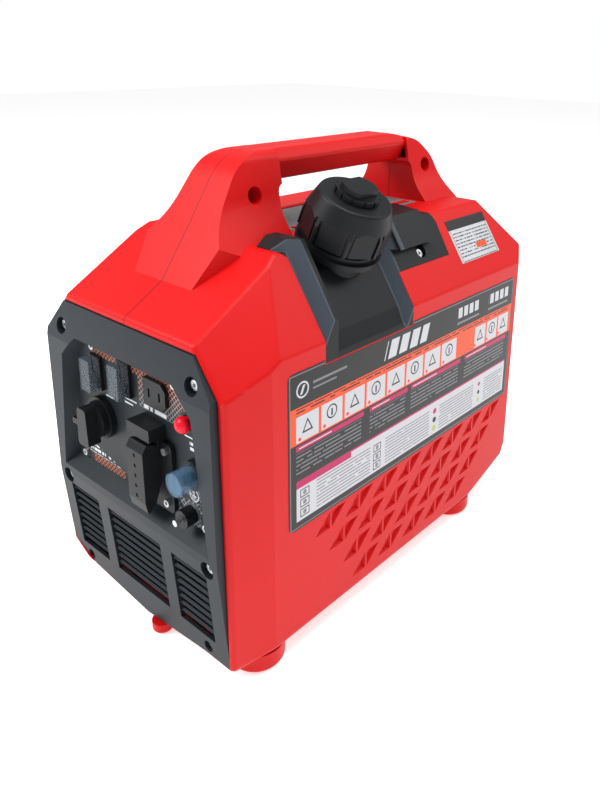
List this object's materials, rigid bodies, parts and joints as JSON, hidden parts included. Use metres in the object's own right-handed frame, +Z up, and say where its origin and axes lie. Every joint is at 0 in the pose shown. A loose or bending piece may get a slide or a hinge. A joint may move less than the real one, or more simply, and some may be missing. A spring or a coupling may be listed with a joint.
{
  "type": "portable generator",
  "caption": "Suitcase-style petrol inverter generator: two-half plastic casing with a carrying handle, recessed control panel, tilted fuel cap and recoil starter.",
  "frame": {"origin": "centre of the bounding box at ground level, under the feet", "axes": "+X to the right facing the control panel (fuel cap side), +Y to the rear, +Z up"},
  "size_m": [0.2366, 0.43, 0.388],
  "materials": {
    "red_shell": "satin moulded",
    "panel_black": "satin moulded",
    "black_plastic": "fine texture",
    "clear_plastic": "clear",
    "cord": "braided",
    "dark_steel": "phosphated",
    "cast_iron": "cast",
    "copper": "enamelled wire",
    "aluminium": "die cast",
    "steel": "zinc plated",
    "grey_inlay": "grained",
    "foot_red": "satin moulded",
    "rubber": "matte",
    "button_red": "gloss",
    "boot_rubber": "clear flexible",
    "side_film": "printed film",
    "plate_film": "printed foil"
  },
  "bodies": {
    "casing": {"left_shell": "red_shell", "right_shell": "red_shell", "front_panel": "panel_black", "control_plate": "panel_black", "left_switch_frame": "black_plastic", "right_switch_frame": "black_plastic", "left_switch_cover": "clear_plastic", "right_switch_cover": "clear_plastic", "outlet_socket": "black_plastic", "engine_switch_base": "black_plastic", "recoil_guide": "black_plastic", "recoil_spring": "dark_steel", "recoil_housing": "dark_steel", "fan_shroud": "black_plastic", "stator": "copper", "crankcase": "aluminium", "cylinder": "aluminium", "spark_plug": "steel", "ignition_coil": "black_plastic", "carburettor": "aluminium", "air_filter_box": "black_plastic", "muffler": "dark_steel", "exhaust_manifold": "dark_steel", "exhaust_outlet": "steel", "rear_panel": "panel_black", "top_inlay": "grey_inlay", "feet": "foot_red", "base_frame": "dark_steel", "engine_mounts": "rubber", "inverter_module": "aluminium", "fuel_tank": "black_plastic", "filler_trim": "panel_black", "filler_neck": "black_plastic", "reset_base": "black_plastic", "breaker_base": "black_plastic", "breaker_boot": "boot_rubber", "ground_stud": "steel", "side_label": "side_film", "rating_label": "plate_film", "casing_screws": "steel", "plate_screws": "steel"},
    "left_rocker": {"left_rocker": "black_plastic"},
    "right_rocker": {"right_rocker": "black_plastic"},
    "engine_switch": {"engine_switch_knob": "black_plastic"},
    "grip": {"recoil_grip": "black_plastic", "starter_rope": "cord"},
    "reel": {"recoil_reel": "black_plastic"},
    "crank": {"crankshaft": "steel", "starter_cup": "dark_steel", "cooling_fan": "black_plastic", "flywheel_rotor": "cast_iron"},
    "piston": {"piston": "aluminium"},
    "cap_liner": {"cap_gasket": "rubber"},
    "cap": {"fuel_cap": "black_plastic"},
    "vent": {"vent_knob": "black_plastic"},
    "reset": {"reset_button": "button_red"},
    "breaker": {"breaker_plunger": "black_plastic"},
    "nut": {"ground_nut": "black_plastic"},
    "cover": {"service_cover": "red_shell", "cover_screws": "steel"}
  },
  "joints": [
    {"name": "left_rocker_tip", "type": "hinge", "parent": "casing", "child": "left_rocker", "pos_m": [-0.0495, -0.1919, 0.215], "axis": [1, 0, 0], "range_deg": [0, 18]},
    {"name": "right_rocker_tip", "type": "hinge", "parent": "casing", "child": "right_rocker", "pos_m": [-0.0095, -0.1919, 0.2215], "axis": [1, 0, 0], "range_deg": [0, 18]},
    {"name": "engine_switch_turn", "type": "hinge", "parent": "casing", "child": "engine_switch", "pos_m": [-0.046, -0.1944, 0.176], "axis": [0, -1, 0], "range_deg": [-45, 45]},
    {"name": "recoil_pull", "type": "slide", "parent": "casing", "child": "grip", "axis": [0, -1, 0], "range_m": [0, 0.6], "stiffness_N_per_m": 40, "springref_m": -0.25, "deforming": ["starter_rope"]},
    {"name": "reel_spin", "type": "hinge", "parent": "casing", "child": "reel", "pos_m": [-0.016, -0.148, 0.118], "axis": [0, -1, 0], "range_deg": [0, 860]},
    {"name": "crank_spin", "type": "hinge", "parent": "casing", "child": "crank", "pos_m": [-0.016, 0, 0.118], "axis": [0, -1, 0], "continuous": true},
    {"name": "piston_stroke", "type": "slide", "parent": "casing", "child": "piston", "axis": [0, 0, 1], "range_m": [-0.038, 0]},
    {"name": "cap_lift", "type": "slide", "parent": "casing", "child": "cap_liner", "axis": [0.4067, 0, 0.9135], "range_m": [0, 0.08]},
    {"name": "cap_turn", "type": "hinge", "parent": "cap_liner", "child": "cap", "pos_m": [0.0715, -0.042, 0.313], "axis": [0.4067, 0, 0.9135], "range_deg": [0, 90]},
    {"name": "vent_turn", "type": "hinge", "parent": "cap", "child": "vent", "pos_m": [0.0715, -0.042, 0.313], "axis": [0.4067, 0, 0.9135], "range_deg": [0, 90]},
    {"name": "reset_press", "type": "slide", "parent": "casing", "child": "reset", "axis": [0, 1, 0], "range_m": [0, 0.0025], "stiffness_N_per_m": 500, "springref_m": -0.002},
    {"name": "breaker_press", "type": "slide", "parent": "casing", "child": "breaker", "axis": [0, 1, 0], "range_m": [0, 0.003], "stiffness_N_per_m": 500, "springref_m": -0.002},
    {"name": "ground_nut_turn", "type": "hinge", "parent": "casing", "child": "nut", "pos_m": [0.068, -0.2, 0.137], "axis": [0, -1, 0], "range_deg": [0, 360]},
    {"name": "service_cover_pull", "type": "slide", "parent": "casing", "child": "cover", "axis": [-1, 0, 0], "range_m": [0, 0.15]}
  ],
  "couplings": [
    {"joint": "reel_spin", "follows": "recoil_pull", "rad_per_m": 25}
  ]
}
